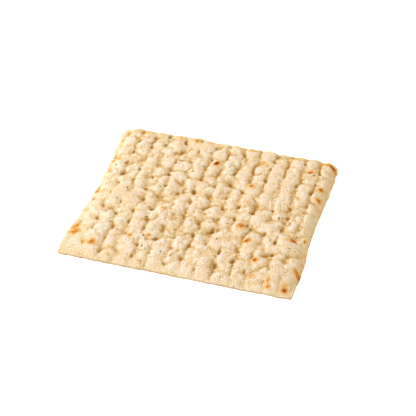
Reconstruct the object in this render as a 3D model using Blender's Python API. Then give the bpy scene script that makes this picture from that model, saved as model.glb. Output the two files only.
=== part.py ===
"""A herb flatbread: one thin rectangular bread, docked all over, lying on its flat underside.

The dough was rolled into a sheet, pricked by a docker roller in staggered columns and cut to a
rectangle. Between the pricks it puffed up into pillows, and along the cuts it stayed thin.
Everything is in metres. X runs along the long side, Y from the near edge to the far one, and Z up
from the underside. The origin is on the underside, in the middle of the bread's bounding box.
"""

import math

import bmesh
import bpy
import numpy as np
from mathutils import Matrix, Vector
from mathutils.bvhtree import BVHTree

# Driving dimensions.
LENGTH = 0.1672                # between the short sides as they were cut
WIDTH = 0.1464                 # between the long sides as they were cut
RIM_THICKNESS = 0.0011         # where the dough was pinched by the cut
PILLOW_HEIGHT = 0.0058         # what a full pillow adds to the rim
THINNEST = 0.0014              # dough left under the deepest prick
LEFT_SLOPE = (0.0095, 0.0048)  # how gently the crumb rises behind each cut, near end and far end
RIGHT_SLOPE = (0.0062, 0.0036)
NEAR_SLOPE = 0.0085
FAR_SLOPE = 0.0022
RELIEF_FADE = 0.35             # how late the creases fade out towards a cut: 1 is with the crumb
UNDERSIDE_INSET = 0.0005       # how far the rim curls in under itself

# The cut outline: rounded corners, and sides that shrank inwards in the oven.
CORNER_REACH = 0.0140
NEAR_CORNER_POWER = 18.0       # almost sharp
FAR_CORNER_POWER = 4.0         # rounder
BOW_REACH = 0.0180             # how far in from a side its bow still moves the dough
BOW_FADE = 1.5
LEFT_BOW = 0.0031
LEFT_BOW_MIDDLE = 0.0050
LEFT_BOW_HALF = 0.0400
LEFT_BULGE = 0.0011
LEFT_BULGE_MIDDLE = -0.0560
LEFT_BULGE_HALF = 0.0090
RIGHT_DRAW = 0.0011            # how far the whole right side drew in
RIGHT_BOW = 0.0021
RIGHT_BOW_MIDDLE = -0.0030
RIGHT_BOW_HALF = 0.0300
RIGHT_NOTCH = 0.0013
RIGHT_NOTCH_MIDDLE = -0.0700
RIGHT_NOTCH_HALF = 0.0130
FAR_BULGE = 0.0012
FAR_BULGE_MIDDLE = -0.0280
FAR_BULGE_HALF = 0.0130
EDGE_WOBBLE = 0.0009
EDGE_WOBBLE_CELL = 0.0055
CALM_SHARE = 0.50              # of the wobble, on the near and the right side

# The docker's pins: staggered columns that run across the bread.
COLUMN_STEP = 0.0115
PIN_STEP = 0.0127
COLUMNS = 17
PINS_EACH_WAY = 7
FIRST_COLUMN_X = -0.08985
PIN_ROW_Y = 0.0043             # the pin nearest the middle in every second column
PIN_JITTER = 0.0008
PIN_DEPTH = (0.0002, 0.0032)
PIN_REACH_X = 0.0007           # distance over which a prick's slope fades
PIN_REACH_Y = 0.0011
PIN_ROUNDING = 0.50
PIN_EASING = 0.80              # a prick's depth where the crumb runs into ridges
GROOVE_DEPTH = (0.0, 0.0009)   # between neighbouring pins of a column
GROOVE_REACH = 0.0011
GROOVE_ROUNDING = 0.0005
GROOVE_EASING = 0.40           # how much shallower the grooves are between closed lumps
BLEND_POWER = 3.0              # how sharply neighbouring hollows take over from each other

# The lumps that puff up in every triangle of pins, and run into ridges near the long sides.
LUMPY_SPAN = (-0.0700, 0.0360)     # from near to far, on the line x = 0
LUMPY_LEAN = 0.45              # how much nearer its far end lies to the right
LUMPY_REACH = 0.0140
LUMP_REACH = 0.0075
LUMP_DROP = 0.0018             # how far the skin falls one reach from a lump's top
LUMP_POWER = 2.0
LUMP_STRETCH = 1.25            # how much longer a lump is along a ridge
LUMP_STRAY = 0.0014
LUMP_SPREAD = 0.00045
LUMP_BLEND = 20000.0           # how sharp the creases between lumps are, per metre
TINY = 1e-18

# The crumb's own unevenness, as (amount, cell) of each layer of noise.
WARP_LAYERS = ((0.0014, 0.0100), (0.0003, 0.0045))
SWELL_LAYERS = ((0.0002, 0.0180), (0.0002, 0.0080), (0.00008, 0.0040))
PUFF_LAYERS = ((0.0013, 0.0058), (0.0004, 0.0026))
PUFF_CALM = 0.80               # the share of a puff's height on the ridges
PUFF_JITTER = 0.38             # how far a puff's middle strays, in cells
PUFF_SPREAD = 0.22             # how much higher one puff is than another, in its own height
PUFF_CREASE = 20.0             # how sharp the creases between puffs are
PUFF_MEAN = 0.05

# Gas blisters and flat patches: x, y, half width, half depth, added height, share of grooves filled.
BLISTERS = (
    (-0.0600, -0.0080, 0.0110, 0.0110, 0.0011, 0.80),
    (-0.0495, 0.0285, 0.0050, 0.0080, 0.0006, 0.55),
    (-0.0365, 0.0360, 0.0040, 0.0070, 0.0006, 0.55),
    (-0.0510, 0.0115, 0.0045, 0.0050, 0.0007, 0.55),
    (-0.0275, 0.0095, 0.0035, 0.0090, 0.0008, 0.60),
    (-0.0485, -0.0200, 0.0045, 0.0060, 0.0005, 0.55),
    (-0.0080, 0.0165, 0.0040, 0.0050, 0.0009, 0.60),
    (-0.0165, -0.0075, 0.0045, 0.0065, 0.0007, 0.55),
    (-0.0395, -0.0225, 0.0040, 0.0050, 0.0007, 0.55),
    (-0.0260, -0.0325, 0.0040, 0.0050, 0.0007, 0.55),
    (-0.0050, -0.0065, 0.0045, 0.0060, 0.0006, 0.55),
    (0.0060, 0.0155, 0.0040, 0.0085, 0.0008, 0.55),
    (0.0195, 0.0065, 0.0035, 0.0110, 0.0007, 0.55),
    (0.0300, 0.0215, 0.0050, 0.0070, 0.0009, 0.55),
    (0.0295, 0.0090, 0.0045, 0.0050, 0.0007, 0.55),
    (0.0415, 0.0150, 0.0050, 0.0060, 0.0006, 0.55),
    (0.0425, -0.0065, 0.0055, 0.0070, 0.0008, 0.55),
    (0.0315, -0.0230, 0.0050, 0.0065, 0.0009, 0.55),
    (0.0420, -0.0370, 0.0055, 0.0080, 0.0009, 0.60),
    (0.0210, -0.0360, 0.0065, 0.0080, 0.0009, 0.60),
    (0.0420, 0.0325, 0.0055, 0.0090, 0.0006, 0.55),
    (0.0520, 0.0315, 0.0050, 0.0090, 0.0006, 0.50),
    (0.0535, -0.0130, 0.0045, 0.0060, 0.0006, 0.55),
    (0.0670, -0.0295, 0.0070, 0.0080, 0.0008, 0.55),
    (-0.0655, -0.0535, 0.0055, 0.0070, 0.0007, 0.50),
    (-0.0510, -0.0510, 0.0045, 0.0060, 0.0007, 0.55),
    (-0.0385, -0.0495, 0.0040, 0.0080, 0.0006, 0.55),
    (0.0160, -0.0575, 0.0055, 0.0080, 0.0007, 0.55),
    (-0.0190, 0.0600, 0.0085, 0.0065, 0.0005, 0.85),
    (0.0690, -0.0560, 0.0085, 0.0080, 0.0006, 0.60),
    (-0.0030, 0.0415, 0.0050, 0.0060, 0.0010, 0.30),
    (-0.0760, -0.0660, 0.0085, 0.0090, -0.0022, 0.95),
    (0.0820, -0.0540, 0.0030, 0.0050, 0.0014, 0.50),
)

# Dried herb and pepper flakes, half sunk in the skin. The largest ones lie at these places.
LARGE_FLAKES = (
    (-0.0289, 0.0399), (-0.0104, 0.0379), (-0.0165, 0.0303), (-0.0454, 0.0549),
    (-0.0105, -0.0336), (-0.0130, -0.0583), (0.0124, -0.0158), (0.0400, -0.0200),
    (0.0465, 0.0162), (0.0562, -0.0031), (0.0643, -0.0056), (0.0708, -0.0321),
    (0.0690, 0.0502),
)
FLAKES = 44
FLAKE_LENGTH = (0.0012, 0.0022)
FLAKE_BREADTH = (0.0006, 0.0009)
FLAKE_THICKNESS = 0.0005
FLAKE_EDGE_CLEARANCE = 0.0090
FLAKE_SPACING = 0.0075
FLAKE_LEAN = 0.25              # how many more of them lie towards the right
FLAKE_OUTLINE = ((1.0, 0.0), (0.45, 0.8), (-0.4, 1.0), (-1.0, 0.1), (-0.5, -0.9), (0.5, -0.85))

# The mesh: lines that follow the pins, and closer ones up the rim's slope.
COLUMN_LINES = (0.0, 0.0029, 0.00575, 0.0086)
ROW_LINE_STEP = PIN_STEP / 6
RIM_LINES = (0.0, 0.0006, 0.0017, 0.0034)
LINE_CLEARANCE = 0.0012        # between the rim's lines and those that follow the pins

NOISE_TABLE = 96
PIN_SEED = 12
DEPTH_SEED = 27
WARP_SEED = 3
SWELL_SEED = 11
LUMP_SEED = 41
PUFF_SEED = 31
WOBBLE_SEED = 21
FLAKE_SEED = 58

CRUST_COLOUR = (0.72, 0.53, 0.30, 1.0)
CRUST_ROUGHNESS = 0.75


def noise(x, y, cell, seed):
    """Smooth noise, about -1 to 1, whose swells are one cell wide and lie in no clear rows."""
    angles = np.random.default_rng(seed).uniform(0.0, math.tau, (NOISE_TABLE, NOISE_TABLE))
    turn = 0.6 + seed
    u = (x * math.cos(turn) - y * math.sin(turn)) / cell + NOISE_TABLE / 2
    v = (x * math.sin(turn) + y * math.cos(turn)) / cell + NOISE_TABLE / 2
    i = np.floor(u).astype(int)
    j = np.floor(v).astype(int)
    fu = u - i
    fv = v - j

    def slope(step_i, step_j):
        angle = angles[(i + step_i) % NOISE_TABLE, (j + step_j) % NOISE_TABLE]
        return np.cos(angle) * (fu - step_i) + np.sin(angle) * (fv - step_j)

    su = fu ** 3 * (fu * (fu * 6.0 - 15.0) + 10.0)
    sv = fv ** 3 * (fv * (fv * 6.0 - 15.0) + 10.0)
    low = slope(0, 0) * (1.0 - su) + slope(1, 0) * su
    high = slope(0, 1) * (1.0 - su) + slope(1, 1) * su
    return 1.6 * (low * (1.0 - sv) + high * sv)


def puffs(x, y, cell, seed):
    """Rounded domes one cell wide that meet in soft creases, about -0.6 to 0.3 of their height."""
    rng = np.random.default_rng(seed)
    strays = rng.uniform(-PUFF_JITTER, PUFF_JITTER, (NOISE_TABLE, NOISE_TABLE, 2))
    heights = rng.uniform(-PUFF_SPREAD, PUFF_SPREAD, (NOISE_TABLE, NOISE_TABLE))
    turn = 0.6 + seed
    u = (x * math.cos(turn) - y * math.sin(turn)) / cell + NOISE_TABLE / 2
    v = (x * math.sin(turn) + y * math.cos(turn)) / cell + NOISE_TABLE / 2
    total = np.zeros_like(u)
    for step_i in (-1, 0, 1):
        for step_j in (-1, 0, 1):
            i = np.floor(u).astype(int) + step_i
            j = np.floor(v).astype(int) + step_j
            entry = (i % NOISE_TABLE, j % NOISE_TABLE)
            stray = strays[entry]
            squared = (u - i - 0.5 - stray[..., 0]) ** 2 + (v - j - 0.5 - stray[..., 1]) ** 2
            total += np.exp(PUFF_CREASE * (heights[entry] - squared))
    return np.log(total) / PUFF_CREASE


def docker_pins():
    """The pins' places, as an array of columns x pins x (x, y), each a little out of line."""
    column, pin = np.meshgrid(
        np.arange(COLUMNS), np.arange(-PINS_EACH_WAY, PINS_EACH_WAY + 1), indexing="ij"
    )
    jitter = np.random.default_rng(PIN_SEED).normal(0.0, PIN_JITTER, column.shape + (2,))
    x = FIRST_COLUMN_X + COLUMN_STEP * column
    y = PIN_ROW_Y + PIN_STEP * (pin + 0.5 * (column % 2))
    return np.stack([x, y], axis=-1) + jitter


def prick(x, y, place, depth):
    """The hollow round one pin, longer across the bread than along it."""
    squared = ((x - place[0]) / PIN_REACH_X) ** 2 + ((y - place[1]) / PIN_REACH_Y) ** 2
    return depth * np.exp(PIN_ROUNDING - np.sqrt(squared + PIN_ROUNDING ** 2))


def groove(x, y, start, end, depth):
    """The groove where the skin is drawn down between two pins."""
    along = end - start
    t = ((x - start[0]) * along[0] + (y - start[1]) * along[1]) / float(along @ along)
    t = np.clip(t, 0.0, 1.0)
    squared = (x - start[0] - t * along[0]) ** 2 + (y - start[1] - t * along[1]) ** 2
    return depth * np.exp((GROOVE_ROUNDING - np.sqrt(squared + GROOVE_ROUNDING ** 2)) / GROOVE_REACH)


def lumpiness(x, y):
    """How much the crumb closes into lumps here, from 0, where it runs into ridges."""
    near, far = LUMPY_SPAN
    outside = np.maximum(y + LUMPY_LEAN * x - far, near - y)
    return 1.0 / (1.0 + np.exp(outside / LUMPY_REACH))


def lump_middles():
    """Where the dough puffs up: in every triangle of pins, and on a ridge's own line."""
    pins = docker_pins()
    rows = pins.shape[1]
    middles = []
    for column in range(COLUMNS - 1):
        odd = column % 2
        ridge_x = FIRST_COLUMN_X + COLUMN_STEP * (column + 0.5)
        for row in range(rows - 1):
            triangles = []
            if row + odd < rows:
                triangles.append((pins[column, row], pins[column, row + 1],
                                  pins[column + 1, row + odd]))
            if row + 1 - odd < rows:
                triangles.append((pins[column + 1, row], pins[column + 1, row + 1],
                                  pins[column, row + 1 - odd]))
            for corners in triangles:
                x, y = np.mean(corners, axis=0)
                middles.append((ridge_x + (x - ridge_x) * lumpiness(x, y), y))
    return middles


def lumps(x, y):
    """The lumps between the pins: about 0 on their tops, and below it in the creases."""
    rng = np.random.default_rng(LUMP_SEED)
    total = np.zeros_like(x)
    for middle_x, middle_y in lump_middles():
        stray = rng.normal(0.0, LUMP_STRAY, 2)
        height = rng.normal(0.0, LUMP_SPREAD)
        stretch = LUMP_STRETCH + (1.0 - LUMP_STRETCH) * lumpiness(middle_x, middle_y)
        squared = (x - middle_x - stray[0]) ** 2 + ((y - middle_y - stray[1]) / stretch) ** 2
        drop = LUMP_DROP * (squared / LUMP_REACH ** 2) ** (LUMP_POWER / 2)
        total += np.exp(LUMP_BLEND * (height - drop))
    return np.log(total + TINY) / LUMP_BLEND


def docking_depth(x, y):
    """How far the pricks and the grooves between them draw the surface down."""
    rng = np.random.default_rng(DEPTH_SEED)
    pins = docker_pins()
    rows = pins.shape[1]
    total = np.zeros_like(x)
    for column in range(COLUMNS):
        for row in range(rows):
            here = pins[column, row]
            lumpy = lumpiness(*here)
            depth = rng.uniform(*PIN_DEPTH) * (PIN_EASING + (1.0 - PIN_EASING) * lumpy)
            total += prick(x, y, here, depth) ** BLEND_POWER
            if row + 1 < rows:
                depth = rng.uniform(*GROOVE_DEPTH) * (1.0 - GROOVE_EASING * lumpy)
                total += groove(x, y, here, pins[column, row + 1], depth) ** BLEND_POWER
    return total ** (1.0 / BLEND_POWER)


def thickness(x, y, rise):
    """The bread's thickness at a place inside its outline, with its share of the crumb's height."""
    warped_x = np.array(x)
    warped_y = np.array(y)
    for layer, (amount, cell) in enumerate(WARP_LAYERS):
        warped_x += amount * noise(x, y, cell, WARP_SEED + 2 * layer)
        warped_y += amount * noise(x, y, cell, WARP_SEED + 2 * layer + 1)
    height = np.full_like(x, PILLOW_HEIGHT)
    for layer, (amount, cell) in enumerate(SWELL_LAYERS):
        height += amount * noise(x, y, cell, SWELL_SEED + layer)
    docking = docking_depth(warped_x, warped_y) - lumps(warped_x, warped_y)
    loose = PUFF_CALM + (1.0 - PUFF_CALM) * lumpiness(x, y)
    for layer, (amount, cell) in enumerate(PUFF_LAYERS):
        puffed = puffs(warped_x, warped_y, cell, PUFF_SEED + layer)
        docking -= amount * loose * (puffed + PUFF_MEAN)
    for middle_x, middle_y, half_x, half_y, added, fill in BLISTERS:
        distance = ((x - middle_x) / half_x) ** 2 + ((y - middle_y) / half_y) ** 2
        cover = np.exp(-distance ** 1.5)
        height += added * cover
        docking *= 1.0 - fill * cover
    relief = rise ** RELIEF_FADE
    floor = relief * (THINNEST - RIM_THICKNESS)
    return RIM_THICKNESS + np.maximum(rise * height - relief * docking, floor)


def hump(value, middle, half, power=2.0):
    """A hump of height 1 around the middle, with a flatter top the higher the power."""
    return np.exp(-np.abs((value - middle) / half) ** power)


def side_weight(distance):
    """How much a point moves with a side that lies this far from it."""
    return np.clip(1.0 - distance / BOW_REACH, 0.0, 1.0) ** BOW_FADE


def rise_inside(u, v):
    """The share of the crumb's height at (u, v): 0 on the cuts, almost 1 well inside them."""
    share = v / WIDTH + 0.5
    left_slope = LEFT_SLOPE[0] + share * (LEFT_SLOPE[1] - LEFT_SLOPE[0])
    right_slope = RIGHT_SLOPE[0] + share * (RIGHT_SLOPE[1] - RIGHT_SLOPE[0])
    left = 1.0 - np.exp(-(LENGTH / 2 + u) / left_slope)
    right = 1.0 - np.exp(-(LENGTH / 2 - u) / right_slope)
    near = 1.0 - np.exp(-(WIDTH / 2 + v) / NEAR_SLOPE)
    far = 1.0 - np.exp(-(WIDTH / 2 - v) / FAR_SLOPE)
    return np.clip(left * right * near * far, 0.0, 1.0)


def lay_out(u, v):
    """Move a plain rectangle's point (u, v) onto the cut outline, and give it with its rise."""
    a = np.clip((np.abs(u) - LENGTH / 2 + CORNER_REACH) / CORNER_REACH, 0.0, 1.0)
    b = np.clip((np.abs(v) - WIDTH / 2 + CORNER_REACH) / CORNER_REACH, 0.0, 1.0)
    power = np.where(v < 0.0, NEAR_CORNER_POWER, FAR_CORNER_POWER)
    rounded = np.maximum((a ** power + b ** power) ** (1.0 / power), 1e-9)
    pull = (1.0 - np.minimum(np.maximum(a, b) / rounded, 1.0)) * CORNER_REACH
    x = u - np.sign(u) * a * pull
    y = v - np.sign(v) * b * pull

    left = side_weight(x + LENGTH / 2)
    right = side_weight(LENGTH / 2 - x)
    near = side_weight(y + WIDTH / 2)
    far = side_weight(WIDTH / 2 - y)
    left_shift = LEFT_BOW * hump(y, LEFT_BOW_MIDDLE, LEFT_BOW_HALF, 3.0)
    left_shift -= LEFT_BULGE * hump(y, LEFT_BULGE_MIDDLE, LEFT_BULGE_HALF)
    right_shift = -RIGHT_DRAW - RIGHT_BOW * hump(y, RIGHT_BOW_MIDDLE, RIGHT_BOW_HALF)
    right_shift -= RIGHT_NOTCH * hump(y, RIGHT_NOTCH_MIDDLE, RIGHT_NOTCH_HALF, 6.0)
    far_shift = FAR_BULGE * hump(x, FAR_BULGE_MIDDLE, FAR_BULGE_HALF)
    wobble_x = EDGE_WOBBLE * noise(x, y, EDGE_WOBBLE_CELL, WOBBLE_SEED)
    wobble_y = EDGE_WOBBLE * noise(x, y, EDGE_WOBBLE_CELL, WOBBLE_SEED + 1)
    x = x + left * left_shift + right * right_shift + (left + CALM_SHARE * right) * wobble_x
    y = y + far * far_shift + (CALM_SHARE * near + far) * wobble_y
    return x, y, rise_inside(u, v)


def grid_lines():
    """The mesh's lines along X and along Y on the plain rectangle."""
    rim = np.array(RIM_LINES)
    clear = RIM_LINES[-1] + LINE_CLEARANCE
    columns = FIRST_COLUMN_X + COLUMN_STEP * np.arange(COLUMNS)
    across = (columns[:, None] + np.array(COLUMN_LINES)).ravel()
    across = across[np.abs(across) < LENGTH / 2 - clear]
    rows = math.ceil(WIDTH / 2 / ROW_LINE_STEP)
    along = PIN_ROW_Y + ROW_LINE_STEP * np.arange(-rows, rows + 1)
    along = along[np.abs(along) < WIDTH / 2 - clear]
    u = np.concatenate([rim - LENGTH / 2, across, (LENGTH / 2 - rim)[::-1]])
    v = np.concatenate([rim - WIDTH / 2, along, (WIDTH / 2 - rim)[::-1]])
    return u, v


def bread_mesh():
    """The bread without its herbs: the docked top, the thin rim and the flat underside."""
    across, along = grid_lines()
    u, v = np.meshgrid(across, along)
    x, y, rise = lay_out(u, v)
    z = thickness(x, y, rise)
    x -= (x.min() + x.max()) / 2
    y -= (y.min() + y.max()) / 2

    bm = bmesh.new()
    bmesh.ops.create_grid(bm, x_segments=len(across) - 1, y_segments=len(along) - 1, size=1.0)
    for vert, place in zip(bm.verts, zip(x.ravel(), y.ravel(), z.ravel())):
        vert.co = place

    edges = [edge for edge in bm.edges if edge.is_boundary]
    rim = bmesh.ops.extrude_edge_only(bm, edges=edges)["geom"]
    for vert in (item for item in rim if isinstance(item, bmesh.types.BMVert)):
        inward = Vector((vert.co.x, vert.co.y)).normalized() * UNDERSIDE_INSET
        vert.co = (vert.co.x - inward.x, vert.co.y - inward.y, 0.0)
    loop = [edge for edge in bm.edges if edge.is_boundary]
    underside = bmesh.ops.contextual_create(bm, geom=loop)["faces"]
    bmesh.ops.poke(bm, faces=underside)
    bmesh.ops.triangulate(bm, faces=bm.faces[:])
    bmesh.ops.recalc_face_normals(bm, faces=bm.faces[:])

    mesh = bpy.data.meshes.new("flatbread")
    bm.to_mesh(mesh)
    bm.free()
    return mesh


def flake_places():
    """Where the flakes lie: the large ones, then others with somewhat more towards the right."""
    rng = np.random.default_rng(FLAKE_SEED)
    reach = np.array([LENGTH / 2 - FLAKE_EDGE_CLEARANCE, WIDTH / 2 - FLAKE_EDGE_CLEARANCE])
    places = [np.array(place) for place in LARGE_FLAKES]
    while len(places) < FLAKES:
        share = rng.uniform(-1.0, 1.0, 2)
        lean = rng.uniform(-1.0, 1.0)
        place = share * reach
        clear = all(np.linalg.norm(place - other) > FLAKE_SPACING for other in places)
        if clear and share[0] * FLAKE_LEAN > lean * FLAKE_LEAN - FLAKE_LEAN:
            places.append(place)
    return places


def make_flake(length, breadth, placing):
    """One flake: a six-sided scale of dried leaf, as a loose object."""
    bm = bmesh.new()
    outline = [
        bm.verts.new((a * length / 2, b * breadth / 2, -FLAKE_THICKNESS / 2))
        for a, b in FLAKE_OUTLINE
    ]
    base = bm.faces.new(outline)
    raised = bmesh.ops.extrude_face_region(bm, geom=[base])["geom"]
    corners = [item for item in raised if isinstance(item, bmesh.types.BMVert)]
    bmesh.ops.translate(bm, verts=corners, vec=(0.0, 0.0, FLAKE_THICKNESS))
    bmesh.ops.recalc_face_normals(bm, faces=bm.faces[:])
    bmesh.ops.transform(bm, matrix=placing, verts=bm.verts[:])
    mesh = bpy.data.meshes.new("flake")
    bm.to_mesh(mesh)
    bm.free()
    return bpy.data.objects.new("flake", mesh)


def scatter_flakes(bread):
    """Lay the flakes on the bread, each flat on the skin under it, in a collection."""
    rng = np.random.default_rng(FLAKE_SEED + 1)
    surface = BVHTree.FromPolygons(
        [vert.co for vert in bread.data.vertices],
        [tuple(face.vertices) for face in bread.data.polygons],
    )
    flakes = bpy.data.collections.new("flakes")
    bpy.context.scene.collection.children.link(flakes)
    for x, y in flake_places():
        place, normal, _, _ = surface.ray_cast(Vector((x, y, LENGTH)), Vector((0.0, 0.0, -1.0)))
        turn = Matrix.Rotation(rng.uniform(0.0, math.tau), 4, "Z")
        lie = normal.to_track_quat("Z", "Y").to_matrix().to_4x4()
        placing = Matrix.Translation(place) @ lie @ turn
        flake = make_flake(rng.uniform(*FLAKE_LENGTH), rng.uniform(*FLAKE_BREADTH), placing)
        flakes.objects.link(flake)
    return flakes


def fuse(bread, flakes):
    """Join the flakes to the bread by one Boolean union and remove the loose ones."""
    union = bread.modifiers.new("herbs", "BOOLEAN")
    union.operation = "UNION"
    union.operand_type = "COLLECTION"
    union.collection = flakes
    union.solver = "EXACT"
    evaluated = bread.evaluated_get(bpy.context.evaluated_depsgraph_get())
    fused = bpy.data.meshes.new_from_object(evaluated)
    bread.modifiers.clear()
    bread.data = fused
    fused.name = bread.name
    for flake in list(flakes.objects):
        bpy.data.objects.remove(flake, do_unlink=True)
    bpy.data.collections.remove(flakes)


def crust():
    """Pale soft-baked crust."""
    material = bpy.data.materials.new("crust")
    material.use_nodes = True
    shader = material.node_tree.nodes["Principled BSDF"]
    shader.inputs["Base Color"].default_value = CRUST_COLOUR
    shader.inputs["Roughness"].default_value = CRUST_ROUGHNESS
    shader.inputs["Metallic"].default_value = 0.0
    return material


def main():
    """Remove what the scene holds, build the flatbread and say how large it is."""
    for thing in list(bpy.data.objects):
        bpy.data.objects.remove(thing, do_unlink=True)
    bread = bpy.data.objects.new("flatbread", bread_mesh())
    bpy.context.scene.collection.objects.link(bread)
    fuse(bread, scatter_flakes(bread))
    bread.data.materials.clear()
    bread.data.materials.append(crust())
    bread.data.shade_smooth()
    size = ", ".join(f"{side * 1000:.1f}" for side in bread.dimensions)
    print(f"flatbread: {size} mm, {len(bread.data.polygons)} faces")


if __name__ == "__main__":
    main()
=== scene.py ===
"""A herb flatbread in soft studio light: docked, puffed, toasted on its crests and flecked with herbs.

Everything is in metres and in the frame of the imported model: X along the long side, Y from the near
edge to the far one, Z up from the underside, and the origin in the middle of the underside's box.
"""

import logging
import math
from collections.abc import Callable
from dataclasses import dataclass
from enum import Enum

import bpy
import numpy as np
from mathutils import Matrix, Vector
from mathutils.bvhtree import BVHTree


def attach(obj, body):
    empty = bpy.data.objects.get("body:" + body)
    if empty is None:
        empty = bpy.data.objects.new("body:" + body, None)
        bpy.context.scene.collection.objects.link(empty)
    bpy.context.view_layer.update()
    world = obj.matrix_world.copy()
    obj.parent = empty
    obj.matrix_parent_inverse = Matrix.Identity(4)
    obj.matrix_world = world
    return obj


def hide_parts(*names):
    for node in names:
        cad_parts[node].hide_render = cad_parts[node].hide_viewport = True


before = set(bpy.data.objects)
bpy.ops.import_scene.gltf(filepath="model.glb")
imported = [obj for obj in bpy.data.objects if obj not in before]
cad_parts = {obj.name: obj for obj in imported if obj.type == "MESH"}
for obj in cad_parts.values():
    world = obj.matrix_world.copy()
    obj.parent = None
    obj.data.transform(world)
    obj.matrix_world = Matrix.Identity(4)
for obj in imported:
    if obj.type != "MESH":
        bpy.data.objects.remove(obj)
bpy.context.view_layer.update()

Array = np.ndarray
Colour = tuple[float, float, float, float]
Socket = bpy.types.NodeSocket

BODY = "root"
NODE = "flatbread"
MM = 0.001
NOISE_TABLE = 96        # cells along each side of a noise's table
NOISE_GAIN = 1.6        # brings the noise up to about -1 to 1
FIRST_TURN = 0.6        # how far the first noise is turned, in radians
TINY = 1e-18            # keeps a logarithm or a division off zero
SHARP_EDGE = math.radians(50.0)

log = logging.getLogger("flatbread")


class Slot(Enum):
    """The record's material slots."""

    CRUST = "crust"
    HERB = "herb"


def linear(colour: str) -> Colour:
    """Turn an sRGB hex colour into the linear one that a shader takes.

    Args:
        colour: Six hex digits, such as "f0d9a8".

    Returns:
        Linear red, green and blue, and an alpha of 1.
    """
    channels = [int(colour[i:i + 2], 16) / 255.0 for i in (0, 2, 4)]
    r, g, b = (c / 12.92 if c <= 0.04045 else ((c + 0.055) / 1.055) ** 2.4 for c in channels)
    return r, g, b, 1.0


def per_metre(size_mm: float) -> float:
    """The scale of a texture whose cells are this many millimetres wide."""
    return 1000.0 / size_mm


def set_up(node: bpy.types.Node, settings: dict) -> bpy.types.Node:
    """Set a node's properties and sockets, and link the sockets that other nodes feed.

    Args:
        node: The node.
        settings: Names of properties, or names and indices of sockets, and what each is set to.
            Another node's output is linked, and a node stands for its first output. "stops" are
            a colour ramp's places, from left to right, and their colours as sRGB hex.

    Returns:
        The node.
    """
    for name, value in settings.items():
        if isinstance(value, bpy.types.Node):
            value = value.outputs[0]
        if isinstance(value, Socket):
            node.id_data.links.new(value, node.inputs[name])
        elif name == "stops":
            elements = node.color_ramp.elements
            while len(elements) < len(value):
                elements.new(0.5)
            for element, (place, colour) in zip(elements, value):
                element.position = place
                element.color = linear(colour)
        elif isinstance(name, str) and hasattr(node, name):
            setattr(node, name, value)
        else:
            node.inputs[name].default_value = value
    return node


def add_node(tree: bpy.types.NodeTree, kind: str, settings: dict | None = None) -> bpy.types.Node:
    """Add a node with its settings and links.

    Args:
        tree: The material's node tree.
        kind: The node's type, without the "ShaderNode" it begins with.
        settings: Its settings and links, as set_up takes them.

    Returns:
        The new node.
    """
    return set_up(tree.nodes.new("ShaderNode" + kind), settings or {})


def start_material(name: str) -> tuple[bpy.types.Material, bpy.types.NodeTree]:
    """Add a material of this name, and return it with its node tree."""
    material = bpy.data.materials.new(name)
    material.use_nodes = True
    return material, material.node_tree


def turned_cells(x: Array, y: Array, cell: float, seed: int) -> tuple[Array, Array]:
    """Places counted in cells of a noise table, which each seed turns another way.

    Args:
        x: Places along X.
        y: Places along Y.
        cell: A cell's width.
        seed: Which table it is.

    Returns:
        The places along the table's two sides.
    """
    turn = FIRST_TURN + seed
    u = (x * math.cos(turn) - y * math.sin(turn)) / cell + NOISE_TABLE / 2
    v = (x * math.sin(turn) + y * math.cos(turn)) / cell + NOISE_TABLE / 2
    return u, v


def noise(x: Array, y: Array, cell: float, seed: int) -> Array:
    """Smooth noise, about -1 to 1, whose swells are one cell wide and lie in no clear rows.

    Args:
        x: Places along X.
        y: Places along Y.
        cell: The swells' width.
        seed: Which noise it is.

    Returns:
        The noise at each place.
    """
    angles = np.random.default_rng(seed).uniform(0.0, math.tau, (NOISE_TABLE, NOISE_TABLE))
    u, v = turned_cells(x, y, cell, seed)
    i = np.floor(u).astype(int)
    j = np.floor(v).astype(int)
    fu = u - i
    fv = v - j

    def slope(step_i: int, step_j: int) -> Array:
        """The rise from one corner of the cell."""
        angle = angles[(i + step_i) % NOISE_TABLE, (j + step_j) % NOISE_TABLE]
        return np.cos(angle) * (fu - step_i) + np.sin(angle) * (fv - step_j)

    su, sv = (f ** 3 * (f * (f * 6.0 - 15.0) + 10.0) for f in (fu, fv))     # the usual easing curve
    low = slope(0, 0) * (1.0 - su) + slope(1, 0) * su
    high = slope(0, 1) * (1.0 - su) + slope(1, 1) * su
    return NOISE_GAIN * (low * (1.0 - sv) + high * sv)


def from_mm(kind: type, lengths: int, rows: tuple[tuple[float, ...], ...]) -> tuple:
    """Make one thing from each row of numbers.

    Args:
        kind: What to make.
        lengths: How many numbers, from a row's start, are lengths in millimetres.
        rows: The rows.

    Returns:
        The things, with their lengths in metres.
    """
    return tuple(kind(*(size * MM for size in row[:lengths]), *row[lengths:]) for row in rows)


@dataclass(frozen=True)
class Bend:
    """A bend in a side of the cut, blunter the higher its power."""

    depth: float
    middle: float
    half: float
    power: float = 2.0

    def at(self, value: Array) -> Array:
        """How far the side is moved at each place along it."""
        return self.depth * np.exp(-np.abs((value - self.middle) / self.half) ** self.power)


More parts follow.
